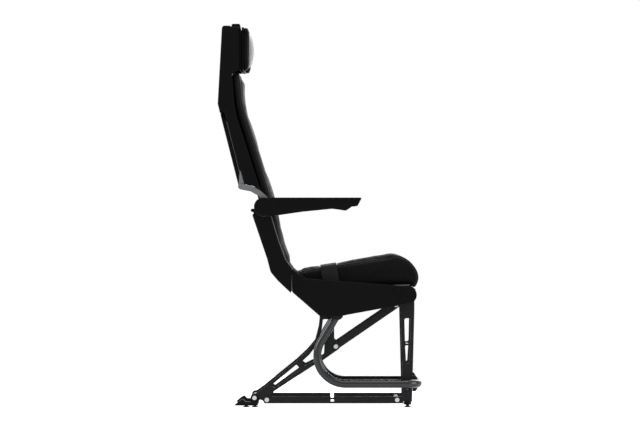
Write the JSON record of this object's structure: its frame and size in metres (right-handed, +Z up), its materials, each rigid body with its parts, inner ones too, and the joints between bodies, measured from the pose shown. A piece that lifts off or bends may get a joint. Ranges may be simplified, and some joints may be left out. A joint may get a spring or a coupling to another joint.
{
  "type": "airliner seat",
  "caption": "Economy-class airliner seat with folding armrests, tray table, adjustable headrest and slight recline, on slotted seat-track legs with a bent baggage bar.",
  "frame": {"origin": "on the cabin floor, under the middle of the seat's outline", "axes": "+Z up, the passenger faces -Y, +X is the passenger's left"},
  "size_m": [0.533, 0.6105, 1.15],
  "materials": {
    "frame_metal": "dark anodised, satin",
    "tube_metal": "dark anodised, polished",
    "link_metal": "grey anodised, satin",
    "bare_steel": "bare, fine brushed",
    "shell_plastic": "fine grained",
    "table_plastic": "fine grained",
    "pad_plastic": "soft touch",
    "cushion_leather": "fine grained, low sheen",
    "pillow_fabric": "plain weave",
    "webbing": "woven tape",
    "buckle_steel": "polished"
  },
  "bodies": {
    "base": {"front_beam": "frame_metal", "rear_beam": "frame_metal", "beam_end_caps": "shell_plastic", "front_leg_left": "frame_metal", "front_leg_right": "frame_metal", "rear_leg_left": "frame_metal", "rear_leg_right": "frame_metal", "braces": "frame_metal", "tie_bars": "frame_metal", "leg_bolts": "bare_steel", "front_track_fittings": "bare_steel", "rear_track_fittings": "bare_steel", "baggage_bar": "tube_metal", "baggage_bar_front_clamps": "frame_metal", "baggage_bar_rear_clamps": "frame_metal", "spreader_left": "frame_metal", "spreader_right": "frame_metal", "spreader_cover_left": "shell_plastic", "spreader_cover_right": "shell_plastic", "side_skirt_left": "shell_plastic", "side_skirt_right": "shell_plastic", "skirt_caps": "shell_plastic", "pivot_pins": "bare_steel", "seat_pan": "frame_metal", "pan_saddles": "frame_metal", "front_beam_cover": "shell_plastic", "seat_cushion": "cushion_leather", "lock_bracket": "frame_metal", "belt_webbing_left": "webbing", "belt_webbing_right": "webbing", "belt_anchors": "bare_steel", "buckle_body": "buckle_steel", "belt_tongue": "buckle_steel"},
    "backrest": {"back_rail_left": "frame_metal", "back_rail_right": "frame_metal", "back_crossbars": "frame_metal", "back_cushion": "cushion_leather", "upper_back_shell": "shell_plastic", "lower_back_shell": "shell_plastic", "literature_pocket": "shell_plastic", "table_brackets": "link_metal", "headrest_guide": "shell_plastic"},
    "headrest": {"headrest_slider": "shell_plastic", "headrest_core": "shell_plastic", "headrest_pillow": "pillow_fabric"},
    "wing_left": {"headrest_wing_left": "shell_plastic", "headrest_pad_left": "cushion_leather"},
    "wing_right": {"headrest_wing_right": "shell_plastic", "headrest_pad_right": "cushion_leather"},
    "table": {"table_leaf": "table_plastic", "table_arms": "link_metal"},
    "latch": {"table_latch": "table_plastic"},
    "armrest_left": {"armrest_shell_left": "shell_plastic", "armrest_cap_left": "pad_plastic"},
    "armrest_right": {"armrest_shell_right": "shell_plastic", "armrest_cap_right": "pad_plastic"},
    "button": {"recline_button": "shell_plastic"},
    "buckle_lid": {"buckle_lever": "buckle_steel"},
    "lock_barrel": {"lock_cylinder": "bare_steel"},
    "lock_piston": {"lock_rod": "bare_steel"}
  },
  "joints": [
    {"name": "recline", "type": "hinge", "parent": "base", "child": "backrest", "pos_m": [0, 0.108, 0.398], "axis": [-1, 0, 0], "range_deg": [0, 10]},
    {"name": "armrest_left_raise", "type": "hinge", "parent": "base", "child": "armrest_left", "pos_m": [0.2445, 0.169, 0.5995], "axis": [-1, 0, 0], "range_deg": [0, 105]},
    {"name": "armrest_right_raise", "type": "hinge", "parent": "base", "child": "armrest_right", "pos_m": [-0.2445, 0.169, 0.5995], "axis": [-1, 0, 0], "range_deg": [0, 105]},
    {"name": "recline_button_press", "type": "slide", "parent": "armrest_right", "child": "button", "axis": [-1, 0, 0], "range_m": [0, 0.0024], "stiffness_N_per_m": 600},
    {"name": "headrest_height", "type": "slide", "parent": "backrest", "child": "headrest", "axis": [0, 0, 1], "range_m": [0, 0.08]},
    {"name": "wing_left_fold", "type": "hinge", "parent": "headrest", "child": "wing_left", "pos_m": [0.108, 0.2305, 1.071], "axis": [0, 0, -1], "range_deg": [0, 60]},
    {"name": "wing_right_fold", "type": "hinge", "parent": "headrest", "child": "wing_right", "pos_m": [-0.108, 0.2305, 1.071], "axis": [0, 0, 1], "range_deg": [0, 60]},
    {"name": "table_fold", "type": "hinge", "parent": "backrest", "child": "table", "pos_m": [0, 0.2365, 0.66], "axis": [-1, 0, 0], "range_deg": [0, 75.7]},
    {"name": "latch_turn", "type": "hinge", "parent": "backrest", "child": "latch", "pos_m": [0, 0.2986, 0.911], "axis": [0, 1, 0], "range_deg": [0, 90]},
    {"name": "buckle_lid_lift", "type": "hinge", "parent": "base", "child": "buckle_lid", "pos_m": [0.022, -0.02561, 0.41981], "axis": [0, 0.9882, -0.1531], "range_deg": [0, 80], "stiffness_Nm_per_rad": 0.05},
    {"name": "lock_tilt", "type": "hinge", "parent": "base", "child": "lock_barrel", "pos_m": [0.068, -0.2, 0.316], "axis": [1, 0, 0], "range_deg": [0, 2.17]},
    {"name": "lock_stroke", "type": "slide", "parent": "lock_barrel", "child": "lock_piston", "axis": [0, -0.9944, -0.1055], "range_m": [0, 0.0078]}
  ],
  "couplings": [
    {"joint": "lock_tilt", "follows": "recline", "ratio": 0.20739},
    {"joint": "lock_stroke", "follows": "recline", "m_per_rad": 0.043537}
  ]
}
